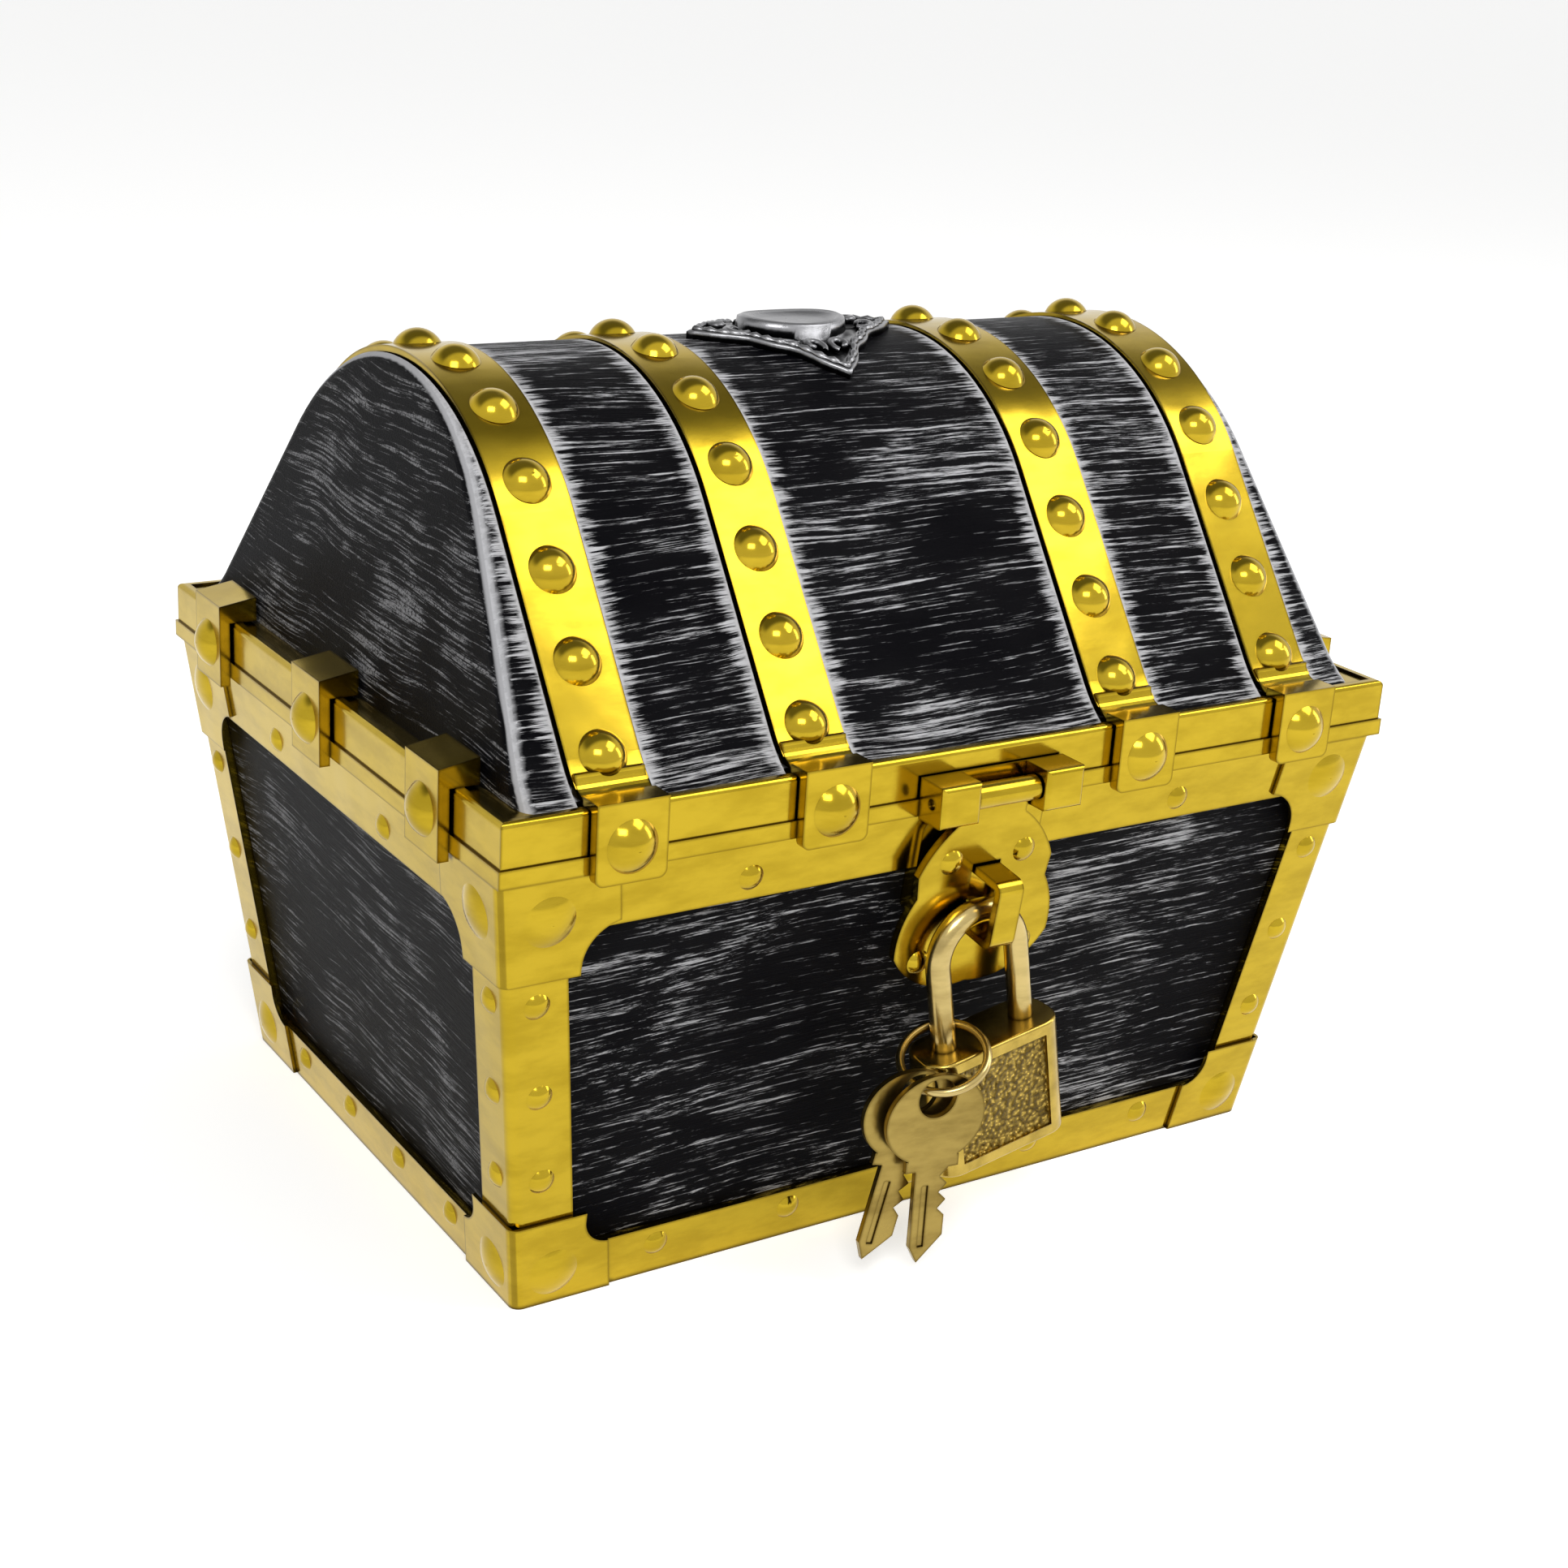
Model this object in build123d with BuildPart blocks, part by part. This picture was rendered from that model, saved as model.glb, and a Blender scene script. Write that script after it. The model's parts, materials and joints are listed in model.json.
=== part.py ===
from build123d import *
import math
import os

os.makedirs("parts", exist_ok=True)

# Body: a flared box, measured over the brackets on its corners
body_height = 68.0
foot_length = 133.3
foot_depth = 94.4
rim_length = 150.2
rim_depth = 113.4
wall = 2.5
floor_thickness = 2.6
trim_thickness = 1.4
bracket_thickness = 0.6
edge_radius = 1.6
overrun = 3.0

# Bands and corner posts of the body
rim_band_height = 8.5
rim_lip = 1.2
foot_band_height = 8.0
post_width = 9.2

# Corner brackets: the upper ones hang from the rim, the lower ones stand under the posts
upper_bracket_width = 17.4
upper_bracket_drop = 15.0
upper_bracket_ear = 7.6
upper_bracket_neck = 11.3
upper_bracket_curve = 6.0
lower_bracket_width = 15.0
lower_bracket_height = 13.8
lower_bracket_ear = 8.2
lower_bracket_neck = 10.0
lower_bracket_curve = 4.2

# Rivet heads
large_rivet_radius = 3.7
large_rivet_height = 1.9
strap_rivet_radius = 3.4
strap_rivet_height = 2.1
small_rivet_radius = 1.9
small_rivet_height = 0.9
rivet_sink = 0.3

# Lid frame
lid_gap = 0.3
frame_height = 8.6
frame_end_overhang = 0.1
frame_side_overhang = 0.6
frame_width = 7.4
frame_strip_height = 2.5
frame_strip_proud = 0.35
frame_bead_width = 1.6
frame_bead_height = 0.4
frame_round = 0.8

# Domed lid: a round crown, straight flanks and a short flare at the foot
dome_end_gap = 2.8
dome_foot_gap = 0.8
end_lean_share = 0.146
crown_radius = 38.0
crown_height = 46.8
flare_radius = 20.0
flare_centre_rise = 16.34
dome_edge_radius = 2.2

# Straps over the lid, each lying in a groove
strap_width = 10.5
strap_thickness = 1.8
groove_depth = 1.2
groove_side_gap = 0.4
outer_strap_inset = 13.1
inner_strap_place = 26.8
strap_end_gap = 0.3
strap_rivet_spacing = 12.6
strap_rivets_each_side = 6

# Clips that hold the straps and the lid's ends
clip_width = 10.4
clip_thickness = 1.6
clip_overhang = 1.0
clip_flange = 1.2
clip_corner = 1.2
end_clip_width = 10.0
end_clip_place = 38.5
end_clip_rise = 3.7
end_clip_slope = 1.0
end_clip_gap = 0.5

# Two hinges on the back
hinge_place = 42.2
hinge_width = 15.6
hinge_leaf = 1.0
hinge_leaf_reach = 6.6
hinge_knuckle_radius = 1.9
hinge_pin_radius = 0.9
hinge_play = 0.05
hinge_side_gap = 0.3
hinge_stand = 2.3
hinge_leaf_corner = 1.5

# Hasp on the front: bracket, pin and hanging plate
hasp_bracket_width = 24.4
hasp_ear_width = 6.6
hasp_ear_depth = 5.4
hasp_ear_height = 6.0
hasp_ear_round = 0.7
hasp_back_thickness = 0.5
hasp_axis_out = 2.8
hasp_axis_up = 2.7
hasp_pin_radius = 0.8
hasp_pin_recess = 0.5
hasp_knuckle_radius = 1.8
hasp_thickness = 1.2
hasp_neck_width = 10.6
hasp_neck_length = 4.0
hasp_shoulder_width = 19.8
hasp_shoulder_place = 8.7
hasp_upper_width = 23.2
hasp_upper_place = 12.0
hasp_waist_width = 22.4
hasp_waist_place = 15.4
hasp_lower_width = 26.6
hasp_lower_place = 20.8
hasp_foot_width = 26.8
hasp_foot_place = 24.8
hasp_corner_width = 18.0
hasp_corner_place = 29.3
hasp_length = 30.8
hasp_upper_rivet_spread = 12.6
hasp_upper_rivet_place = 10.4
hasp_lower_rivet_spread = 18.0
hasp_lower_rivet_place = 26.0

# Staple: a strip loop through the hasp plate, on a foot plate behind it
loop_width = 4.2
loop_thickness = 1.2
loop_top = 11.6
loop_bottom = 22.2
loop_reach = 7.0
loop_round = 1.6
loop_clearance = 0.3
staple_foot_width = 11.0
staple_foot_margin = 2.2
staple_foot_thickness = 0.8

# Lock plate on the front of the body
lock_plate_width = 21.0
lock_plate_height = 15.0
lock_plate_drop = 1.0
lock_plate_thickness = 1.0
lock_plate_corner = 2.0

# Padlock that hangs in the loop, a little askew
shackle_lean = 10.5
shackle_radius = 1.8
shackle_bend = 6.8
shackle_leg = 12.6
shackle_offset = 1.2
shackle_out = 1.85
shackle_drop = 21.9
toe_depth = 2.6
heel_depth = 8.0
shackle_play = 0.05
bore_floor_gap = 0.3
case_width = 23.0
case_height = 19.0
case_thickness = 9.2
case_corner = 3.6
case_edge = 0.5
case_panel_margin = 1.9
case_panel_depth = 0.35
plug_radius = 3.0
plug_length = 2.4
plug_proud = 0.8
keyway_width = 0.8
keyway_height = 3.6

# Key ring, placed from the middle of the shackle's bend
ring_radius = 6.2
ring_wire = 0.65
ring_left = 6.33
ring_front = 2.59
ring_below = 13.57
ring_turn = 212.9
ring_slope = 27.9

# Two keys on the low side of the ring
key_thickness = 0.9
key_turn = 263.0
key_spread = 12.5
key_bow_width = 15.6
key_bow_height = 13.8
key_hole_radius = 3.0
key_hole_drop = 0.7
key_hole_down = 3.4
key_collar_width = 8.4
key_collar_height = 1.8
key_shank_width = 5.2
key_reach = 26.0
key_groove_width = 1.0
key_groove_depth = 0.25
key_tooth_depth = 1.2
key_tooth_pitch = 2.6
rear_key_lean = 13.0

# Ornament on the crown of the lid
ornament_half_length = 18.4
ornament_half_depth = 17.4
ornament_waist_share = 0.34
ornament_thickness = 1.3
boss_half_length = 7.4
boss_half_depth = 5.4
boss_height = 2.0
boss_rim = 1.1
boss_dish = 0.7

# Places that follow from the sizes above
trim_inset = bracket_thickness
panel_inset = trim_inset + trim_thickness
cavity_inset = panel_inset + wall
frame_bottom = body_height + lid_gap
frame_top = frame_bottom + frame_height
ledge_level = frame_top - frame_bead_height
frame_half_length = rim_length / 2 + frame_end_overhang
frame_half_depth = rim_depth / 2 + frame_side_overhang
strip_half_length = frame_half_length + frame_strip_proud
strip_half_depth = frame_half_depth + frame_strip_proud
crown_centre = ledge_level + crown_height - crown_radius
dome_length = 2 * (frame_half_length - frame_bead_width - dome_end_gap)
dome_foot = frame_half_depth - frame_bead_width - dome_foot_gap
flare_centre = (
    dome_foot + math.sqrt(flare_radius**2 - flare_centre_rise**2),
    ledge_level + flare_centre_rise,
)
centre_rise = flare_centre[1] - crown_centre
centre_share = (crown_radius + flare_radius) / math.hypot(flare_centre[0], centre_rise)
flank_lean = math.atan2(centre_rise, flare_centre[0]) + math.acos(centre_share)
hasp_lean = math.degrees(math.atan((rim_depth - foot_depth) / 2 / body_height))
lock_plate_top = body_height - lock_plate_drop
lock_plate_bottom = lock_plate_top - lock_plate_height
outer_strap_place = dome_length / 2 - outer_strap_inset
clip_bottom = body_height - clip_overhang
strap_proud = strap_thickness - groove_depth
strap_places = (-outer_strap_place, -inner_strap_place, inner_strap_place, outer_strap_place)
strap_names = ("outer_left", "inner_left", "inner_right", "outer_right")
corners = {
    "front_left": (-1, -1),
    "front_right": (1, -1),
    "back_left": (-1, 1),
    "back_right": (1, 1),
}


def half_length(level, inset):
    """Half the body's length at a level, so far inside its brackets."""
    return foot_length / 2 + (rim_length - foot_length) / 2 * level / body_height - inset


def half_depth(level, inset):
    """Half the body's depth at a level, so far inside its brackets."""
    return foot_depth / 2 + (rim_depth - foot_depth) / 2 * level / body_height - inset


def save(piece, name):
    """Name a finished piece and write it."""
    piece.part.label = name
    export_step(piece.part, f"parts/{name}.step")


def flared_block(low, high, inset):
    """The body's flared form between two levels, so far inside its brackets."""
    with BuildPart() as block:
        for level in (low, high):
            with BuildSketch(Plane.XY.offset(level)):
                Rectangle(2 * half_length(level, inset), 2 * half_depth(level, inset))
        loft(ruled=True)
    return block.part


def corner_block(sides, low, high, inset, width):
    """A flared square column at one corner of the body, its outer edge rounded."""
    side_x, side_y = sides
    with BuildPart() as block:
        for level in (low, high):
            across = side_x * (half_length(level, inset) - width / 2)
            along = side_y * (half_depth(level, inset) - width / 2)
            with BuildSketch(Plane.XY.offset(level)):
                with Locations((across, along)):
                    Rectangle(width, width)
        loft(ruled=True)
        upright = block.edges().filter_by(lambda e: e.bounding_box().size.Z > (high - low) / 2)
        outer = upright.sort_by(lambda e: side_x * e.center().X + side_y * e.center().Y)[-1]
        fillet(outer, radius=edge_radius)
    return block.part


def rivet_head(radius, height):
    """A domed head on the plane z = 0, with a short root below it."""
    ball = (radius**2 + height**2) / (2 * height)
    half_turn = math.asin(radius / ball) / 2
    middle = (ball * math.sin(half_turn), height - ball + ball * math.cos(half_turn))
    with BuildPart() as head:
        with BuildSketch(Plane.XZ):
            with BuildLine():
                ThreePointArc((radius, 0), middle, (0, height))
                Polyline((0, height), (0, -rivet_sink), (radius, -rivet_sink), (radius, 0))
            make_face()
        revolve(axis=Axis.Z)
    return head.part


def face_plane(side, across, level, inset):
    """A plane on a flared side of the body: +Z out of the wall, +Y up it."""
    lean_y = (rim_depth - foot_depth) / 2 / body_height
    lean_x = (rim_length - foot_length) / 2 / body_height
    if side in ("front", "back"):
        sign = -1 if side == "front" else 1
        origin = (across, sign * half_depth(level, inset), level)
        return Plane(origin=origin, x_dir=(-sign, 0, 0), z_dir=(0, sign, -lean_y))
    sign = -1 if side == "left" else 1
    origin = (sign * half_length(level, inset), across, level)
    return Plane(origin=origin, x_dir=(0, sign, 0), z_dir=(sign, 0, -lean_x))


def shares_of(spread, count):
    """Evenly spaced places from -spread to spread."""
    return [spread * (2 * step / (count - 1) - 1) for step in range(count)]


# Body: the black tub with its floor
cavity = flared_block(floor_thickness, body_height + overrun, cavity_inset)
panel_body = flared_block(-overrun, body_height + overrun, panel_inset)
trim_body = flared_block(-overrun, body_height + overrun, trim_inset)
with BuildPart() as tub:
    add(flared_block(0, body_height - rim_lip, panel_inset))
    add(cavity, mode=Mode.SUBTRACT)
save(tub, "tub")

# Rim band: wraps the top of the tub and laps over its edge
small_head = rivet_head(small_rivet_radius, small_rivet_height)
rim_band_bottom = body_height - rim_band_height
rim_band_middle = body_height - rim_band_height / 2
rim_rivet_drop = rim_band_middle - clip_overhang
with BuildPart() as rim_band:
    add(flared_block(rim_band_bottom, body_height, trim_inset))
    add(flared_block(rim_band_bottom - overrun, body_height - rim_lip, panel_inset), mode=Mode.SUBTRACT)
    add(cavity, mode=Mode.SUBTRACT)
    for across in (-inner_strap_place - clip_width, inner_strap_place + clip_width):
        add(small_head.moved(face_plane("front", across, rim_rivet_drop, trim_inset).location))
    for side in ("left", "right"):
        for across in shares_of(end_clip_place / 2, 2):
            add(small_head.moved(face_plane(side, across, rim_rivet_drop, trim_inset).location))
save(rim_band, "rim_band")

# Foot band: wraps the bottom of the tub
foot_rivet_level = foot_band_height * 5 / 8
foot_front_spread = foot_length / 3
foot_side_spread = foot_depth * 2 / 7
with BuildPart() as foot_band:
    add(flared_block(0, foot_band_height, trim_inset))
    add(panel_body, mode=Mode.SUBTRACT)
    for side in ("front", "back"):
        for across in shares_of(foot_front_spread, 5):
            add(small_head.moved(face_plane(side, across, foot_rivet_level, trim_inset).location))
    for side in ("left", "right"):
        for across in shares_of(foot_side_spread, 4):
            add(small_head.moved(face_plane(side, across, foot_rivet_level, trim_inset).location))
save(foot_band, "foot_band")

# Corner posts: angle strips between the bands, three rivets on each leg
post_bottom = foot_band_height
post_top = rim_band_bottom
post_rivet_shares = (0.25, 0.52, 0.8)
for corner, sides in corners.items():
    front = "front" if sides[1] < 0 else "back"
    end = "left" if sides[0] < 0 else "right"
    with BuildPart() as post:
        add(corner_block(sides, post_bottom, post_top, trim_inset, post_width))
        add(panel_body, mode=Mode.SUBTRACT)
        for share in post_rivet_shares:
            level = post_bottom + share * (post_top - post_bottom)
            across = sides[0] * (half_length(level, trim_inset) - post_width / 2)
            along = sides[1] * (half_depth(level, trim_inset) - post_width / 2)
            add(small_head.moved(face_plane(front, across, level, trim_inset).location))
            add(small_head.moved(face_plane(end, along, level, trim_inset).location))
    save(post, f"corner_post_{corner}")


def bracket_waste(neck, width, low, ear_level, curve):
    """The part cut from a bracket's leg: all that lies past its neck, below its ear."""
    far = width + overrun
    bow = curve * (1 - math.sqrt(1 / 2))
    turn_level = ear_level - math.copysign(curve, ear_level - low)
    middle = (neck + bow, ear_level - math.copysign(bow, ear_level - low))
    with BuildSketch() as waste:
        with BuildLine():
            Polyline((neck, turn_level), (neck, low), (far, low), (far, ear_level), (neck + curve, ear_level))
            ThreePointArc((neck + curve, ear_level), middle, (neck, turn_level))
        make_face()
    return waste.sketch


# Corner brackets: angle plates over the posts and bands, cut to a curved outline
large_head = rivet_head(large_rivet_radius, large_rivet_height / 2)
bracket_kinds = {
    "upper": (
        body_height - upper_bracket_drop,
        body_height,
        upper_bracket_width,
        upper_bracket_neck,
        body_height - upper_bracket_drop - overrun,
        body_height - upper_bracket_ear,
        upper_bracket_curve,
        body_height - upper_bracket_drop * 2 / 5,
    ),
    "lower": (
        0,
        lower_bracket_height,
        lower_bracket_width,
        lower_bracket_neck,
        lower_bracket_height + overrun,
        lower_bracket_ear,
        lower_bracket_curve,
        lower_bracket_height * 3 / 8,
    ),
}
for kind, (low, high, width, neck, waste_end, ear, curve, rivet_level) in bracket_kinds.items():
    waste = bracket_waste(neck, width, waste_end, ear, curve)
    for corner, sides in corners.items():
        front = "front" if sides[1] < 0 else "back"
        end = "left" if sides[0] < 0 else "right"
        with BuildPart() as bracket:
            add(corner_block(sides, low, high, 0, width))
            add(trim_body, mode=Mode.SUBTRACT)
            front_origin = (sides[0] * half_length(low, 0), 0, 0)
            with BuildSketch(Plane(origin=front_origin, x_dir=(-sides[0], 0, 0), z_dir=(0, sides[0], 0))):
                add(waste)
            extrude(amount=rim_depth, both=True, mode=Mode.SUBTRACT)
            end_origin = (0, sides[1] * half_depth(low, 0), 0)
            with BuildSketch(Plane(origin=end_origin, x_dir=(0, -sides[1], 0), z_dir=(-sides[1], 0, 0))):
                add(waste)
            extrude(amount=rim_length, both=True, mode=Mode.SUBTRACT)
            across = sides[0] * (half_length(rivet_level, 0) - neck * 5 / 8)
            along = sides[1] * (half_depth(rivet_level, 0) - neck * 5 / 8)
            add(large_head.moved(face_plane(front, across, rivet_level, 0).location))
            add(large_head.moved(face_plane(end, along, rivet_level, 0).location))
        save(bracket, f"{kind}_bracket_{corner}")


def dome_section(offset, base_level):
    """The lid's cross-section down to a level, grown or shrunk by an offset."""
    lean = flank_lean
    radius = crown_radius + offset
    crown_end = (radius * math.cos(lean), crown_centre + radius * math.sin(lean))
    flare = flare_radius - offset
    end_lean = math.asin((flare_centre[1] - base_level) / flare)
    places = []
    for turn in (lean, (lean + end_lean) / 2, end_lean):
        places.append((flare_centre[0] - flare * math.cos(turn), flare_centre[1] - flare * math.sin(turn)))
    with BuildSketch() as section:
        with BuildLine():
            for side in (-1, 1):
                arc = [(side * across, up) for across, up in places]
                ThreePointArc(arc[0], arc[1], arc[2])
                Line((side * crown_end[0], crown_end[1]), arc[0])
            ThreePointArc((-crown_end[0], crown_end[1]), (0, crown_centre + radius), crown_end)
            Line((-places[2][0], base_level), (places[2][0], base_level))
        make_face()
    return section.sketch


def dome_block(offset, base_level):
    """The lid's dome with leaning ends, grown or shrunk by an offset."""
    top = ledge_level + crown_height + overrun
    foot_half = dome_length / 2 + offset + (ledge_level - base_level) * end_lean_share
    top_half = dome_length / 2 + offset - (top - ledge_level) * end_lean_share
    with BuildPart() as block:
        with BuildSketch(Plane.YZ):
            add(dome_section(offset, base_level))
        extrude(amount=dome_length, both=True)
        with BuildSketch(Plane.XZ):
            Polygon(
                (-foot_half, base_level), (foot_half, base_level), (top_half, top), (-top_half, top), align=None
            )
        extrude(amount=rim_depth, both=True, mode=Mode.INTERSECT)
    return block.part


# Lid frame: a ring with a proud lower strip and a rounded bead round its top
with BuildPart() as lid_frame:
    with BuildSketch(Plane.XY.offset(frame_bottom)):
        Rectangle(2 * frame_half_length, 2 * frame_half_depth)
    extrude(amount=frame_height)
    fillet(lid_frame.edges().group_by(Axis.Z)[-1], radius=frame_round)
    with BuildSketch(Plane.XY.offset(frame_bottom)):
        Rectangle(2 * strip_half_length, 2 * strip_half_depth)
    extrude(amount=frame_strip_height)
    with BuildSketch(Plane.XY.offset(ledge_level)):
        Rectangle(2 * (frame_half_length - frame_bead_width), 2 * (frame_half_depth - frame_bead_width))
    extrude(amount=overrun, mode=Mode.SUBTRACT)
    with BuildSketch(Plane.XY.offset(frame_bottom - overrun)):
        Rectangle(2 * (frame_half_length - frame_width), 2 * (frame_half_depth - frame_width))
    extrude(amount=frame_height + 2 * overrun, mode=Mode.SUBTRACT)
save(lid_frame, "lid_frame")

# Domed lid shell with four shallow grooves for the straps
lid_hollow = dome_block(-wall, ledge_level - overrun / 2)
with BuildPart() as lid_shell:
    add(dome_block(0, ledge_level))
    end_edges = lid_shell.edges().filter_by(
        lambda e: abs(e.center().X) > outer_strap_place and e.center().Z > ledge_level + edge_radius / 2
    )
    fillet(end_edges, radius=dome_edge_radius)
    add(lid_hollow, mode=Mode.SUBTRACT)
    for place in strap_places:
        with BuildSketch(Plane.YZ.offset(place - strap_width / 2 - groove_side_gap)):
            with Locations((0, ledge_level + crown_height / 2)):
                Rectangle(rim_depth, crown_height + 2 * overrun)
            add(dome_section(-groove_depth, ledge_level - overrun), mode=Mode.SUBTRACT)
        extrude(amount=strap_width + 2 * groove_side_gap, mode=Mode.SUBTRACT)
save(lid_shell, "lid_shell")


def dome_plane(place, travel):
    """A plane on the strap's outer face, so far round it from the crown: +Z out of the lid."""
    lean = flank_lean
    radius = crown_radius + strap_proud
    crown_share = radius * (math.pi / 2 - lean)
    side = math.copysign(1, travel)
    turn = min(abs(travel), crown_share) / radius
    rest = max(abs(travel) - crown_share, 0)
    across = radius * math.sin(turn) + rest * math.sin(lean)
    up = crown_centre + radius * math.cos(turn) - rest * math.cos(lean)
    out = (0, side * math.sin(turn), math.cos(turn))
    return Plane(origin=(place, side * across, up), x_dir=(1, 0, 0), z_dir=out)


# Straps: bands over the lid with a row of domed rivets
strap_head = rivet_head(strap_rivet_radius, strap_rivet_height)
strap_foot = frame_top + clip_flange + strap_end_gap
first_rivet = strap_rivet_spacing / 2
for place, name in zip(strap_places, strap_names):
    with BuildPart() as strap:
        with BuildSketch(Plane.YZ.offset(place - strap_width / 2)):
            add(dome_section(strap_proud, strap_foot))
            add(dome_section(-groove_depth, strap_foot - overrun / 2), mode=Mode.SUBTRACT)
        extrude(amount=strap_width)
        for step in range(strap_rivets_each_side):
            travel = first_rivet + step * strap_rivet_spacing
            for side in (-1, 1):
                add(strap_head.moved(dome_plane(place, side * travel).location))
    save(strap, f"strap_{name}")

# Strap clips: angle plates over the frame's front and back, one at each strap's foot
clip_inside = strip_half_depth
clip_outside = strip_half_depth + clip_thickness
clip_head = rivet_head(large_rivet_radius, large_rivet_height)
clip_top = frame_top + clip_flange
for place, name in zip(strap_places, strap_names):
    for side, side_name in ((-1, "front"), (1, "back")):
        with BuildPart() as clip:
            with BuildSketch(Plane.YZ.offset(place - clip_width / 2)):
                Polygon(
                    (side * clip_inside, clip_bottom),
                    (side * clip_outside, clip_bottom),
                    (side * clip_outside, clip_top),
                    (side * (dome_foot + end_clip_gap), clip_top),
                    (side * (dome_foot + end_clip_gap), frame_top),
                    (side * clip_inside, frame_top),
                    align=None,
                )
            extrude(amount=clip_width)
            low_edges = clip.edges().filter_by(Axis.Y).group_by(Axis.Z)[0]
            fillet(low_edges, radius=clip_corner)
            outward = Plane(
                origin=(place, side * clip_outside, (clip_bottom + frame_top) / 2),
                x_dir=(1, 0, 0),
                z_dir=(0, side, 0),
            )
            add(clip_head.moved(outward.location))
        save(clip, f"strap_clip_{name}_{side_name}")

# End clips: hooked blocks over the frame's two ends, three on each
end_clip_names = ("front", "middle", "back")
end_clip_top = frame_top + end_clip_rise
end_inside = strip_half_length
end_outside = strip_half_length + clip_thickness
end_clip_root = dome_length / 2 + end_clip_gap
for side, end in ((-1, "left"), (1, "right")):
    for place, name in zip((-end_clip_place, 0, end_clip_place), end_clip_names):
        with BuildPart() as end_clip:
            with BuildSketch(Plane.XZ.offset(-place - end_clip_width / 2)):
                Polygon(
                    (side * end_inside, clip_bottom),
                    (side * end_outside, clip_bottom),
                    (side * end_outside, end_clip_top - end_clip_slope),
                    (side * end_clip_root, end_clip_top),
                    (side * end_clip_root, frame_top),
                    (side * end_inside, frame_top),
                    align=None,
                )
            extrude(amount=end_clip_width)
            outward = Plane(
                origin=(side * end_outside, place, (clip_bottom + frame_top) / 2 + frame_round),
                x_dir=(0, 1, 0),
                z_dir=(side, 0, 0),
            )
            add(clip_head.moved(outward.location))
        save(end_clip, f"end_clip_{end}_{name}")

# Ornament: a four-pointed plate that follows the crown, with a dished oval boss
waist = ornament_waist_share
with BuildPart() as ornament:
    with BuildSketch(Plane.XY.offset(crown_centre)):
        with BuildLine():
            for side_x in (-1, 1):
                for side_y in (-1, 1):
                    tip_x = (side_x * ornament_half_length, 0)
                    tip_y = (0, side_y * ornament_half_depth)
                    dent = (side_x * waist * ornament_half_length, side_y * waist * ornament_half_depth)
                    ThreePointArc(tip_x, dent, tip_y)
        make_face()
    extrude(amount=crown_radius * 2)
    with BuildSketch(Plane.YZ.offset(-ornament_half_length - overrun)):
        with Locations((0, crown_centre)):
            Circle(crown_radius + ornament_thickness)
    extrude(amount=2 * (ornament_half_length + overrun), mode=Mode.INTERSECT)
    with BuildSketch(Plane.XY.offset(crown_centre)):
        Ellipse(boss_half_length, boss_half_depth)
    extrude(amount=crown_radius + ornament_thickness + boss_height)
    with BuildSketch(Plane.XY.offset(crown_centre + crown_radius + ornament_thickness + boss_height)):
        Ellipse(boss_half_length - boss_rim, boss_half_depth - boss_rim)
    extrude(amount=-boss_dish, mode=Mode.SUBTRACT)
    with BuildSketch(Plane.YZ.offset(-ornament_half_length - overrun)):
        with Locations((0, crown_centre)):
            Circle(crown_radius)
    extrude(amount=2 * (ornament_half_length + overrun), mode=Mode.SUBTRACT)
save(ornament, "lid_ornament")

# Hinges: a leaf on the body, a leaf on the lid and a pin through both
hinge_axis_y = strip_half_depth + hinge_stand
hinge_axis_z = frame_bottom
knuckle_third = hinge_width / 3
leaf_low = body_height - hinge_leaf_reach
leaf_meet = body_height - lid_gap


def knuckle_bar(low, high, radius):
    """A round bar on the hinge axis between two places along it."""
    with BuildPart() as bar:
        with BuildSketch(Plane.YZ.offset(low)):
            with Locations((hinge_axis_y, hinge_axis_z)):
                Circle(radius)
        extrude(amount=high - low)
    return bar.part


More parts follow.
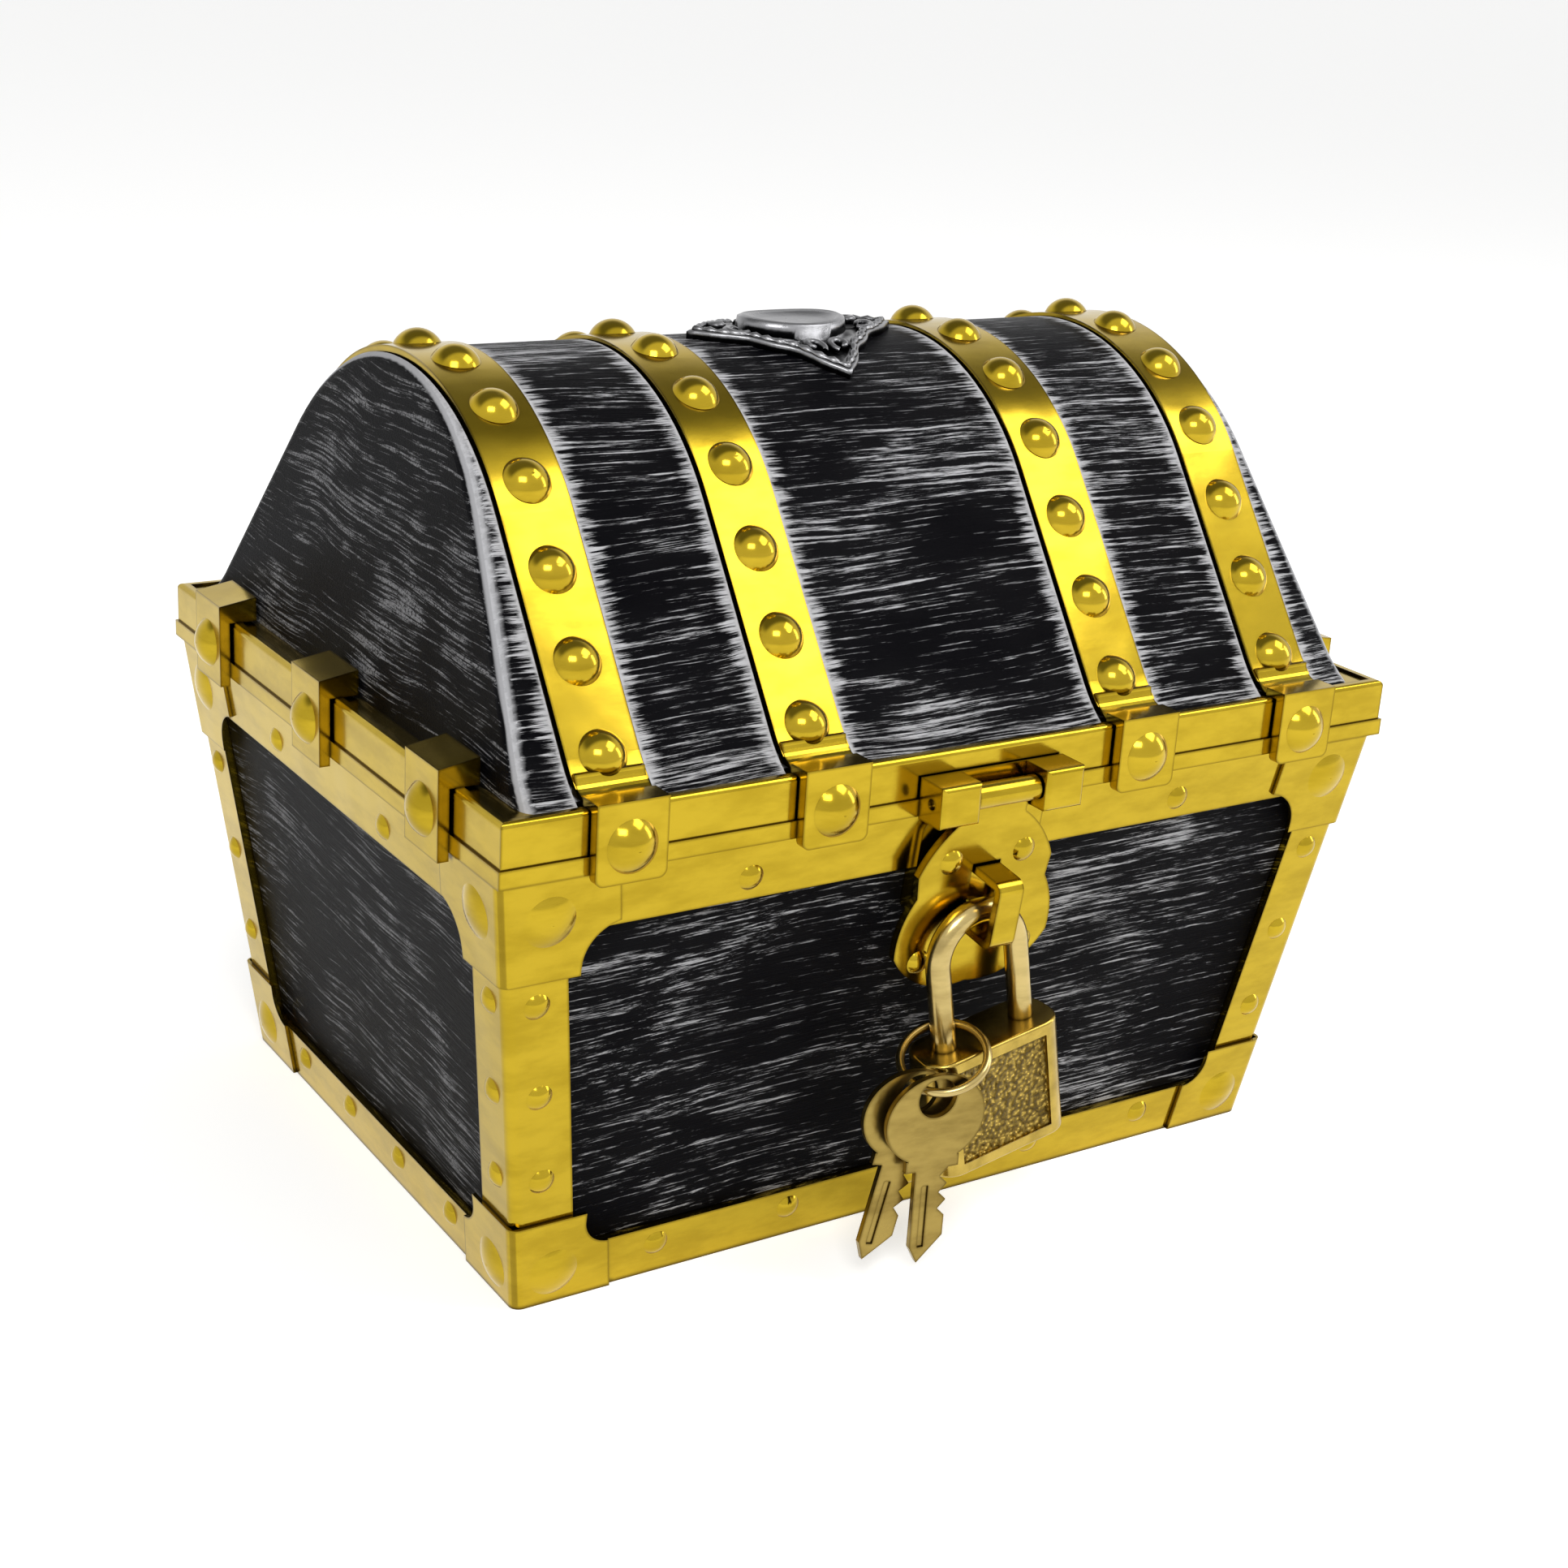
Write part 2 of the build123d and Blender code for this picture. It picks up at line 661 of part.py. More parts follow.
for side, name in ((-1, "left"), (1, "right")):
    start = side * hinge_place - hinge_width / 2
    stop = start + hinge_width
    first = start + knuckle_third
    second = stop - knuckle_third
    middle_low = first + hinge_side_gap / 2
    middle_high = second - hinge_side_gap / 2
    with BuildPart() as body_leaf:
        with BuildSketch(Plane.YZ.offset(start)):
            Polygon(
                (half_depth(leaf_low, trim_inset), leaf_low),
                (half_depth(leaf_low, trim_inset) + hinge_leaf, leaf_low),
                (hinge_axis_y, hinge_axis_z - hinge_knuckle_radius),
                (hinge_axis_y - hinge_knuckle_radius, hinge_axis_z),
                (half_depth(leaf_meet, trim_inset), leaf_meet),
                align=None,
            )
        extrude(amount=hinge_width)
        add(knuckle_bar(start, stop, hinge_knuckle_radius))
        middle_cut = knuckle_bar(first - hinge_side_gap / 2, second + hinge_side_gap / 2,
                                 hinge_knuckle_radius + hinge_side_gap)
        add(middle_cut, mode=Mode.SUBTRACT)
        add(knuckle_bar(start - overrun, stop + overrun, hinge_pin_radius), mode=Mode.SUBTRACT)
    save(body_leaf, f"hinge_body_leaf_{name}")
    with BuildPart() as lid_leaf:
        with BuildSketch(Plane.YZ.offset(start)):
            Polygon(
                (strip_half_depth, frame_bottom + hinge_knuckle_radius + hinge_side_gap),
                (strip_half_depth + hinge_leaf, frame_bottom + hinge_knuckle_radius + hinge_side_gap),
                (strip_half_depth + hinge_leaf, frame_bottom + hinge_leaf_reach),
                (strip_half_depth, frame_bottom + hinge_leaf_reach),
                align=None,
            )
        extrude(amount=hinge_width)
        with BuildSketch(Plane.YZ.offset(middle_low)):
            Polygon(
                (strip_half_depth, frame_bottom + hinge_side_gap),
                (hinge_axis_y, hinge_axis_z),
                (hinge_axis_y, hinge_axis_z + hinge_knuckle_radius),
                (strip_half_depth + hinge_leaf, frame_bottom + hinge_knuckle_radius + 2 * hinge_side_gap),
                (strip_half_depth, frame_bottom + hinge_knuckle_radius + 2 * hinge_side_gap),
                align=None,
            )
        extrude(amount=middle_high - middle_low)
        add(knuckle_bar(middle_low, middle_high, hinge_knuckle_radius))
        add(knuckle_bar(start - overrun, stop + overrun, hinge_pin_radius + hinge_play), mode=Mode.SUBTRACT)
    save(lid_leaf, f"hinge_lid_leaf_{name}")
    with BuildPart() as hinge_pin:
        add(knuckle_bar(start, stop, hinge_pin_radius))
    save(hinge_pin, f"hinge_pin_{name}")

# Hasp bracket: a back plate with two square ears that hold the pin
hasp_axis_y = -(strip_half_depth + hasp_axis_out)
hasp_axis_z = frame_bottom + hasp_axis_up
ear_low = hasp_axis_z - hasp_ear_height / 2
hasp_half = hasp_bracket_width / 2


def hasp_bar(half_span, radius):
    """A round bar on the hasp's axis, centred on the chest."""
    with BuildPart() as bar:
        with BuildSketch(Plane.YZ.offset(-half_span)):
            with Locations((hasp_axis_y, hasp_axis_z)):
                Circle(radius)
        extrude(amount=2 * half_span)
    return bar.part


with BuildPart() as hasp_bracket:
    with BuildSketch(Plane.XY.offset(ear_low)):
        for side in (-1, 1):
            with Locations((side * (hasp_half - hasp_ear_width / 2), -strip_half_depth - hasp_ear_depth / 2)):
                Rectangle(hasp_ear_width, hasp_ear_depth)
    extrude(amount=hasp_ear_height)
    front_edges = hasp_bracket.edges().group_by(Axis.Y)[0]
    fillet(front_edges, radius=hasp_ear_round)
    with BuildSketch(Plane.XY.offset(ear_low)):
        with Locations((0, -strip_half_depth - hasp_back_thickness / 4)):
            Rectangle(hasp_bracket_width, hasp_back_thickness / 2)
    extrude(amount=hasp_ear_height)
    add(hasp_bar(hasp_half + overrun, hasp_pin_radius), mode=Mode.SUBTRACT)
save(hasp_bracket, "hasp_bracket")

with BuildPart() as hasp_pin:
    add(hasp_bar(hasp_half - hasp_pin_recess, hasp_pin_radius))
save(hasp_pin, "hasp_pin")

# Hasp plate: a lobed plate on a rolled knuckle, with a square loop standing out of it
lean = math.radians(hasp_lean)
hasp_down = (0, math.sin(lean), -math.cos(lean))
hasp_out = (0, -math.cos(lean), -math.sin(lean))
plate_back = hasp_knuckle_radius - hasp_thickness / 2
hasp_origin = (0, hasp_axis_y - plate_back * hasp_out[1], hasp_axis_z - plate_back * hasp_out[2])
hasp_plane = Plane(origin=hasp_origin, x_dir=hasp_down, z_dir=hasp_out)
hasp_points = (
    (hasp_neck_length, hasp_neck_width / 2),
    (hasp_shoulder_place, hasp_shoulder_width / 2),
    (hasp_upper_place, hasp_upper_width / 2),
    (hasp_waist_place, hasp_waist_width / 2),
    (hasp_lower_place, hasp_lower_width / 2),
    (hasp_foot_place, hasp_foot_width / 2),
    (hasp_corner_place, hasp_corner_width / 2),
)
loop_middle = (loop_top + loop_bottom) / 2
loop_span = loop_bottom - loop_top
hasp_front = hasp_plane.offset(hasp_thickness / 2)
hasp_rivets = (
    (hasp_upper_rivet_place, hasp_upper_rivet_spread / 2),
    (hasp_lower_rivet_place, hasp_lower_rivet_spread / 2),
)
with BuildPart() as hasp_plate:
    with BuildSketch(hasp_plane.offset(-hasp_thickness / 2)):
        with BuildLine():
            for side in (-1, 1):
                neck, shoulder, upper, bend, lower, foot, corner = [(v, side * u) for v, u in hasp_points]
                Line((0, side * hasp_neck_width / 2), neck)
                ThreePointArc(neck, shoulder, upper)
                Line(upper, bend)
                ThreePointArc(bend, lower, foot)
                ThreePointArc(foot, corner, (hasp_length, 0))
            Line((0, -hasp_neck_width / 2), (0, hasp_neck_width / 2))
        make_face()
        with Locations((loop_middle, 0)):
            Rectangle(loop_span + 2 * loop_clearance, loop_width + 2 * loop_clearance, mode=Mode.SUBTRACT)
    extrude(amount=hasp_thickness)
    add(hasp_bar(hasp_neck_width / 2, hasp_knuckle_radius))
    add(hasp_bar(hasp_half, hasp_pin_radius + hinge_play), mode=Mode.SUBTRACT)
    for place, spread in hasp_rivets:
        for side in (-1, 1):
            spot = Plane(origin=hasp_front.from_local_coords((place, side * spread, 0)), z_dir=hasp_out)
            add(small_head.moved(spot.location))
save(hasp_plate, "hasp_plate")

# Staple: the loop and its foot plate, which lies against the hasp plate's back
loop_plane = Plane(origin=hasp_origin, x_dir=hasp_down, z_dir=(1, 0, 0))
foot_back = hasp_thickness / 2 + staple_foot_thickness
with BuildPart() as staple:
    with BuildSketch(loop_plane.offset(-loop_width / 2)):
        with Locations((loop_middle, -loop_reach / 2)):
            Rectangle(loop_span, loop_reach)
        fillet(vertices().group_by(Axis.Y)[0], radius=loop_round)
        with Locations((loop_middle, hasp_thickness / 4)):
            Rectangle(loop_span, hasp_thickness / 2)
        hole_reach = loop_reach - loop_thickness + hasp_thickness / 2
        with Locations((loop_middle, hasp_thickness / 2 - hole_reach / 2)):
            Rectangle(loop_span - 2 * loop_thickness, hole_reach, mode=Mode.SUBTRACT)
    extrude(amount=loop_width)
    with BuildSketch(hasp_plane.offset(-foot_back)):
        with Locations((loop_middle, 0)):
            Rectangle(loop_span + 2 * staple_foot_margin, staple_foot_width)
        fillet(vertices(), radius=staple_foot_margin / 2)
    extrude(amount=staple_foot_thickness)
save(staple, "staple")

# Lock plate: on the rim band and the panel below it
front_low = half_depth(lock_plate_bottom, trim_inset)
front_high = half_depth(lock_plate_top, trim_inset)
with BuildPart() as lock_plate:
    with BuildSketch(Plane.YZ.offset(-lock_plate_width / 2)):
        Polygon(
            (-front_low - lock_plate_thickness, lock_plate_bottom),
            (-front_high - lock_plate_thickness, lock_plate_top),
            (-front_high + trim_thickness + overrun, lock_plate_top),
            (-front_low + trim_thickness + overrun, lock_plate_bottom),
            align=None,
        )
    extrude(amount=lock_plate_width)
    plate_corners = lock_plate.edges().filter_by(Axis.Y)
    fillet(plate_corners, radius=lock_plate_corner)
    add(panel_body, mode=Mode.SUBTRACT)
    add(flared_block(rim_band_bottom, body_height, trim_inset), mode=Mode.SUBTRACT)
save(lock_plate, "lock_plate")

# Padlock: its shackle lies across the front and leans a little
tilt = math.radians(shackle_lean)
across_way = Vector(math.cos(tilt), 0, math.sin(tilt))
up_way = Vector(-math.sin(tilt), 0, math.cos(tilt))
bend_centre = Vector(-shackle_offset, -strip_half_depth - shackle_out, frame_bottom - shackle_drop)
padlock_plane = Plane(origin=bend_centre, x_dir=across_way, z_dir=(0, -1, 0))
case_top = Plane(origin=bend_centre - up_way * shackle_leg, x_dir=across_way, z_dir=up_way)
with BuildPart() as shackle:
    with BuildLine(padlock_plane) as shackle_path:
        Line((shackle_bend, -shackle_leg - heel_depth), (shackle_bend, 0))
        ThreePointArc((shackle_bend, 0), (0, shackle_bend), (-shackle_bend, 0))
        Line((-shackle_bend, 0), (-shackle_bend, -shackle_leg - toe_depth))
    heel_end = padlock_plane.from_local_coords((shackle_bend, -shackle_leg - heel_depth, 0))
    with BuildSketch(Plane(origin=heel_end, x_dir=across_way, z_dir=up_way)):
        Circle(shackle_radius)
    sweep(path=shackle_path.line)
save(shackle, "padlock_shackle")

with BuildPart() as padlock_case:
    with BuildSketch(case_top):
        Rectangle(case_width, case_thickness)
        fillet(vertices(), radius=case_corner)
    extrude(amount=-case_height)
    rims = padlock_case.edges().filter_by(lambda e: abs(e.tangent_at(0.5).dot(up_way)) < math.sin(tilt) / 2)
    fillet(rims, radius=case_edge)
    for side in (-1, 1):
        face = case_thickness / 2
        panel_origin = case_top.from_local_coords((0, side * face, -case_height / 2))
        with BuildSketch(Plane(origin=panel_origin, x_dir=across_way, z_dir=(0, side, 0))):
            panel_width = case_width - 2 * case_corner
            Rectangle(panel_width, case_height - 2 * case_panel_margin)
        extrude(amount=-case_panel_depth, mode=Mode.SUBTRACT)
    for place, depth in ((shackle_bend, heel_depth), (-shackle_bend, toe_depth)):
        with BuildSketch(case_top):
            with Locations((place, 0)):
                Circle(shackle_radius + shackle_play)
        extrude(amount=-depth - bore_floor_gap, mode=Mode.SUBTRACT)
    with BuildSketch(case_top.offset(-case_height)):
        Circle(plug_radius)
    extrude(amount=plug_length, mode=Mode.SUBTRACT)
save(padlock_case, "padlock_case")

with BuildPart() as lock_plug:
    with BuildSketch(case_top.offset(-case_height - plug_proud)):
        Circle(plug_radius)
        Rectangle(keyway_width, keyway_height, mode=Mode.SUBTRACT)
    extrude(amount=plug_proud + plug_length)
save(lock_plug, "padlock_plug")

# Key ring: a closed wire ring round the shackle's left leg
turn = math.radians(ring_turn)
slope = math.radians(ring_slope)
ring_centre = bend_centre + Vector(-ring_left, -ring_front, -ring_below)
ring_low = Vector(math.cos(slope) * math.cos(turn), math.cos(slope) * math.sin(turn), -math.sin(slope))
ring_normal = Vector(math.sin(slope) * math.cos(turn), math.sin(slope) * math.sin(turn), math.cos(slope))
ring_plane = Plane(origin=ring_centre, x_dir=ring_low, z_dir=ring_normal)
with BuildPart() as key_ring:
    with Locations(ring_plane):
        Torus(ring_radius, ring_wire)
save(key_ring, "key_ring")

# Keys: flat keys with oval bows, both on the ring's low side
key_way = math.radians(key_turn)
key_out = Vector(math.cos(key_way), math.sin(key_way), 0)
key_right = Vector(-math.sin(key_way), math.cos(key_way), 0)
for name, spread, key_lean in (("front", key_spread, 0), ("rear", -key_spread, rear_key_lean)):
    share = math.radians(spread)
    wire_spot = ring_plane.from_local_coords((ring_radius * math.cos(share), ring_radius * math.sin(share), 0))
    lean_turn = math.radians(key_lean)
    key_across = key_right * math.cos(lean_turn) - Vector(0, 0, math.sin(lean_turn))
    flat = Plane(origin=wire_spot - key_out * (key_thickness / 2), x_dir=key_across, z_dir=key_out)
    hole_up = -key_hole_drop
    bow_middle = hole_up - key_hole_down
    blade_top = bow_middle - key_bow_height / 2 - key_collar_height / 2
    blade_end = hole_up - key_reach
    with BuildPart() as key:
        with BuildSketch(flat):
            with Locations((0, bow_middle)):
                Ellipse(key_bow_width / 2, key_bow_height / 2)
            with Locations((0, blade_top + key_collar_height / 2)):
                Rectangle(key_collar_width, key_collar_height)
            Polygon(
                (-key_shank_width / 2, blade_top + key_collar_height),
                (-key_shank_width / 2, blade_end + key_shank_width / 2),
                (-key_shank_width / 4, blade_end),
                (key_shank_width / 2, blade_end + key_shank_width * 3 / 4),
                (key_shank_width / 2, blade_top + key_collar_height),
                align=None,
            )
            for step in range(3):
                tooth = blade_top - key_tooth_pitch * (step + 1 / 2)
                with Locations((key_shank_width / 2, tooth)):
                    RegularPolygon(key_tooth_depth, 4, rotation=0, mode=Mode.SUBTRACT)
            with Locations((0, hole_up)):
                Circle(key_hole_radius, mode=Mode.SUBTRACT)
        extrude(amount=key_thickness)
        with BuildSketch(flat.offset(key_thickness)):
            with Locations((-key_shank_width / 6, (blade_top + blade_end) / 2)):
                Rectangle(key_groove_width, (blade_top - blade_end) * 2 / 3)
        extrude(amount=-key_groove_depth, mode=Mode.SUBTRACT)
    save(key, f"key_{name}")
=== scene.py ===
# %% [markdown]
# # A small treasure chest
# The chest is a toy-sized box: black moulded plastic with a painted wood grain, plated
# trim in bright gold, and a little brass padlock with two keys. Its shapes come from a
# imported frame, so this lesson is mostly about finishes. We could also model the box here,
# but then its joints and sizes would have to be kept in two places. First we load the
# frame and keep its size, because nothing we do here may make the object bigger.

# %% Load the frame
import json
import math
from types import SimpleNamespace

import bmesh
import bpy
from mathutils import Matrix, Vector


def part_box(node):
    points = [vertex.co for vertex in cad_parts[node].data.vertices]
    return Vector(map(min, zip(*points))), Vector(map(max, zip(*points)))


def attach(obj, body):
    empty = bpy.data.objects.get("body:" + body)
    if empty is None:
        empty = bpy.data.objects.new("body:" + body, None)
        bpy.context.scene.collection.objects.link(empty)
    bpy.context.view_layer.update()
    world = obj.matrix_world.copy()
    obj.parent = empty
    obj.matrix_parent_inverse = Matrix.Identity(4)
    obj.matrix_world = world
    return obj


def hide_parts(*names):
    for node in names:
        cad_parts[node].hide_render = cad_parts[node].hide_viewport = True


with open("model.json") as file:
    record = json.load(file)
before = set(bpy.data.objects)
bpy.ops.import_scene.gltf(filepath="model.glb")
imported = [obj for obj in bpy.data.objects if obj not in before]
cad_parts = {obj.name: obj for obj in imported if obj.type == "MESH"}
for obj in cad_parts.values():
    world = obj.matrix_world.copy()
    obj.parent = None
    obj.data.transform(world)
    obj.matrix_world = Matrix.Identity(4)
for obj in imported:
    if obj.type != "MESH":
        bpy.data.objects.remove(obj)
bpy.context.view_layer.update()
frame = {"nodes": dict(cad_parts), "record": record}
MM = 0.001
print("nodes", len(frame["nodes"]))

# %% [markdown]
# ## Expressions for shaders
# A finish is a sum of masks: streaks, worn edges, dents. Wiring Math nodes by hand hides
# that, so a small class wraps a socket and lets us write the sum as Python does. It
# could also be done with a node group for each mask, but expressions are easier to read.


# %% The socket class
def link_or_set(tree, value, socket):
    if isinstance(value, Socket):
        tree.links.new(value.out, socket)
    elif value is not None:
        socket.default_value = value


class Socket:
    """One output of a node, which adds and multiplies like a number."""

    def __init__(self, tree, out):
        self.tree = tree
        self.out = out

    def node(self, kind, settings=None, output=0, **inputs):
        """A new node: settings first, then inputs by name, or as i0, i1 where names repeat."""
        made = self.tree.nodes.new(kind)
        for key, value in (settings or {}).items():
            setattr(made, key, value)
        for key, value in inputs.items():
            by_place = key[0] == "i" and key[1:].isdigit()
            link_or_set(self.tree, value, made.inputs[int(key[1:]) if by_place else key.replace("_", " ")])
        return Socket(self.tree, made.outputs[output])

    def other(self, output):
        """Another output of the same node, by name or place."""
        return Socket(self.tree, self.out.node.outputs[output])

    def math(self, operation, first, second=None):
        return self.node("ShaderNodeMath", {"operation": operation}, i0=first, i1=second)

    def __add__(self, other):
        return self.math("ADD", self, other)

    def __sub__(self, other):
        return self.math("SUBTRACT", self, other)

    def __rsub__(self, other):
        return self.math("SUBTRACT", other, self)

    def __mul__(self, other):
        return self.math("MULTIPLY", self, other)

    __radd__ = __add__
    __rmul__ = __mul__

    def abs(self):
        return self.math("ABSOLUTE", self)

    def most(self, other):
        return self.math("MAXIMUM", self, other)

    def step(self, low, high):
        """0 below low, 1 above high, smooth between. Low may be the larger."""
        return self.node("ShaderNodeMapRange", {"interpolation_type": "SMOOTHSTEP"},
                         i0=self, i1=low, i2=high, i3=0.0, i4=1.0)

    def mix(self, first, second):
        """Blend two colours by this mask."""
        return self.node("ShaderNodeMix", {"data_type": "RGBA"}, output=2, i0=self, i6=first, i7=second)


print("shader expressions ready")


# %% A new material, and what feeds it
def finish(name, **fixed):
    """A new material and its Principled shader, and sockets for a point's place and facing."""
    material = bpy.data.materials.new(name)
    material.use_nodes = True
    shader = material.node_tree.nodes["Principled BSDF"]
    for key, value in fixed.items():
        shader.inputs[key.replace("_", " ")].default_value = value
    start = Socket(material.node_tree, None)
    place = start.node("ShaderNodeTexCoord", output="Object")
    facing = start.node("ShaderNodeTexCoord", output="Normal")
    return material, shader, place, facing


def apart(vector):
    """The three numbers of a vector."""
    first = vector.node("ShaderNodeSeparateXYZ", Vector=vector)
    return [first.other(index) for index in range(3)]


def stretched(vector, scale, detail=5.0, roughness=0.6):
    """Noise, stretched by a scale along each axis, in features per metre."""
    longer = vector.node("ShaderNodeMapping", {"vector_type": "POINT"}, Vector=vector, Scale=scale)
    return longer.node("ShaderNodeTexNoise", Vector=longer, Scale=1.0, Detail=detail, Roughness=roughness)


def feed(material, shader, color, roughness, height, depth, strength):
    """Colour and roughness go into the shader, and height through a Bump node."""
    tree = material.node_tree
    link_or_set(tree, color, shader.inputs["Base Color"])
    link_or_set(tree, roughness, shader.inputs["Roughness"])
    bent = height.node("ShaderNodeBump", Strength=strength, Distance=depth, Height=height)
    tree.links.new(bent.out, shader.inputs["Normal"])


print("material helpers ready")

# %% [markdown]
# ## Dry-brushed black plastic
# The walls are black plastic with a moulded grain. Silver paint was dragged over them
# with a nearly dry brush, so it catches the high grain and piles up on the edges beside
# the straps. We stretch noise along the grain, cut it at a level, and lay a fringe where
# an edge is near. A painted image would show seams at the corners.

# %% The grain of a wall
GRAIN_LONG, GRAIN_FINE = 58, 1900  # features per metre along the grain and across it
BRISTLES = (210, 3200, 3200)
PATCHES = (26, 60, 60)
GRAIN_WANDER = 7.0 * MM


def wall_masks(place, facing):
    """What a wall's finish is made of: its grain, bristle marks and patches, and its facing."""
    x, y, z = apart(place)
    sideways = apart(facing)[0].abs()
    on_end = sideways.step(0.6, 0.8)
    wander = (stretched(place, (12, 20, 20), detail=2.0) - 0.5) * GRAIN_WANDER
    skewed = place.node("ShaderNodeCombineXYZ", X=x, Y=y + wander, Z=z + wander)
    along = stretched(skewed, (GRAIN_LONG, GRAIN_FINE, GRAIN_FINE), detail=8.0, roughness=0.76)
    across = stretched(skewed, (GRAIN_FINE, GRAIN_LONG, GRAIN_FINE), detail=8.0, roughness=0.76)
    return SimpleNamespace(
        sideways=sideways,
        on_end=on_end,
        grain=along * (1 - on_end) + across * on_end,
        bristles=stretched(skewed, BRISTLES, detail=3.0),
        patches=stretched(place, PATCHES, detail=3.0),
    )


print("a streak of grain is about", round(1 / GRAIN_LONG / MM, 1), "by", round(1 / GRAIN_FINE / MM, 2), "mm")

# %% Paint on the high grain
PAINT_LEVEL = 0.612  # grain that is higher than this takes paint
PATCH_SWING = 0.36  # how far the patches raise and lower that level
STREAK_BLUR = 0.07
STREAK_STRENGTH = 0.85
LESS_ON_ENDS = 0.45


def streaks(wall, coverage):
    """Thin streaks of paint, in patches, and fewer on the end walls."""
    level = PAINT_LEVEL - coverage - (wall.patches - 0.5) * PATCH_SWING
    caught = (wall.grain - level).step(0.0, STREAK_BLUR) * wall.bristles.step(0.34, 0.56)
    return caught * (1 - wall.on_end * LESS_ON_ENDS) * STREAK_STRENGTH


print("paint takes grain above", PAINT_LEVEL, "give or take", PATCH_SWING / 2)


# %% Edges of the lid, in millimetres
STRAP_PLACES, STRAP_HALF = (57.7, 26.8), 5.65  # centres of the grooves, and half a groove's width
LEDGE, END_HALF = 76.5, 70.8  # the height of the lid's foot, and half its length there
END_LEAN = 0.146  # how far an end leans in for each step up
END_FRINGE, END_LINE, END_LINE_AT = (4.5, -1.0), (1.4, 0.0), 0.6
STRAP_FRINGE, STRAP_LINE = (5.6, -0.5), (0.8, 0.1)
FOOT_FRINGE = (5.0, 0.0)
EDGE_RAGGED = 6.0 * MM


def close_to(gap, fade):
    """A mask that starts where the gap is the first number, and is full at the second."""
    return gap.step(fade[0] * MM, fade[1] * MM)


def lid_edges(x, z, ragged):
    """Two masks: a wide fringe beside straps, ends and foot, and a thin line right on the edge."""
    end_gap = END_HALF * MM - (z - LEDGE * MM) * END_LEAN - x.abs()
    fringe = close_to(end_gap + ragged, END_FRINGE)
    line = close_to(end_gap - END_LINE_AT * MM + ragged * 0.3, END_LINE)
    for centre in STRAP_PLACES:
        strap_gap = (x.abs() - centre * MM).abs() - STRAP_HALF * MM
        fringe = fringe.most(close_to(strap_gap + ragged, STRAP_FRINGE))
        line = line.most(close_to(strap_gap + ragged * 0.3, STRAP_LINE))
    foot = close_to(z - (LEDGE + 1) * MM + ragged, FOOT_FRINGE)
    return fringe.most(foot * 0.7), line


print("the lid's ends lean in", round(math.degrees(math.atan(END_LEAN)), 1), "degrees")


# %% Paint on the lid's edges
FRINGE_PULL = 0.27  # how much easier the grain takes paint where the fringe is full
FRINGE_LEVEL = 0.665


def edge_paint(place, wall):
    """Paint that piled up: feathered fringes, thin lines, and the rubbed shoulder of each end."""
    x, _, z = apart(place)
    ragged = (stretched(place, (30, 700, 700)) - 0.5) * EDGE_RAGGED
    fringe, line = lid_edges(x, z, ragged)
    long_wall = 1 - wall.on_end
    feather = (wall.grain + fringe * long_wall * FRINGE_PULL - FRINGE_LEVEL).step(0.0, 0.11)
    feather = feather * wall.bristles.step(0.25, 0.52)
    drawn = line * long_wall * wall.bristles.step(0.1, 0.45)
    shoulder = wall.sideways.step(0.12, 0.5) * wall.sideways.step(0.97, 0.75)
    rubbed = (shoulder * 0.5 + wall.patches - 0.62).step(0.0, 0.25) * shoulder
    return (feather * 0.95).most(drawn).most(rubbed * 0.8)


print("fringes beside", 2 * len(STRAP_PLACES), "straps")

# %% Black plastic with silver paint
SILVER_PAINT = (0.60, 0.60, 0.62, 1)
DEEP_BLACK = (0.001, 0.001, 0.002, 1)
SOFT_BLACK = (0.006, 0.006, 0.007, 1)


def outside_of(place, facing, middle):
    """1 on faces that look away from the middle of a hollow piece, 0 on its inner walls."""
    ray = place.node("ShaderNodeVectorMath", {"operation": "SUBTRACT"}, i0=place, i1=middle)
    dot = ray.node("ShaderNodeVectorMath", {"operation": "DOT_PRODUCT"}, output="Value", i0=ray, i1=facing)
    return dot.step(-0.001, 0.001)


def brushed_black(name, middle, coverage, has_straps):
    material, shader, place, facing = finish(name, Specular_IOR_Level=0.02)
    wall = wall_masks(place, facing)
    paint = streaks(wall, coverage)
    if has_straps:
        paint = paint.most(edge_paint(place, wall))
    paint = paint * outside_of(place, facing, middle)
    black = wall.patches.step(0.3, 0.7).mix(DEEP_BLACK, SOFT_BLACK)
    rough = paint * 0.25 + 0.36 + (wall.patches - 0.5) * 0.2
    height = wall.grain * 0.75 + wall.bristles * 0.25
    feed(material, shader, paint.mix(black, SILVER_PAINT), rough, height, depth=0.6 * MM, strength=0.45)
    return material


lid_black = brushed_black("lid_black_plastic", middle=(0, 0, 60 * MM), coverage=0.075, has_straps=True)
tub_black = brushed_black("tub_black_plastic", middle=(0, 0, 35 * MM), coverage=0.065, has_straps=False)
for black in (lid_black, tub_black):
    print(black.name, "has", len(black.node_tree.nodes), "nodes")

# %% [markdown]
# ## Painted shade on metal
# On the real box the corners where two pieces meet lie in shade, and each plate shows a
# thin line of shade along its own edge. Both are painted into the metal's colour here as
# painted shade. An Ambient Occlusion node finds both: it tells how much of a point's
# surroundings is free of other faces. Painting the lines by place would take a mask for each plate.

# %% Two masks of painted shade for metal
CORNER_SHADE_REACH = 1.1 * MM
EDGE_SHADE_REACH = 0.45 * MM
# the brown of the painted shade in corners and along plate edges
PAINTED_SHADE_BROWN = (0.075, 0.045, 0.006, 1)


def free_share(place, reach):
    """1 where nothing is within reach of a face, and less in a corner."""
    return place.node("ShaderNodeAmbientOcclusion", {"samples": 12}, output="AO", Distance=reach)


def painted_corner_shade(place):
    """Painted shade: 1 in the narrow corner where two pieces meet, 0 on open faces."""
    return free_share(place, CORNER_SHADE_REACH).step(0.90, 0.42)


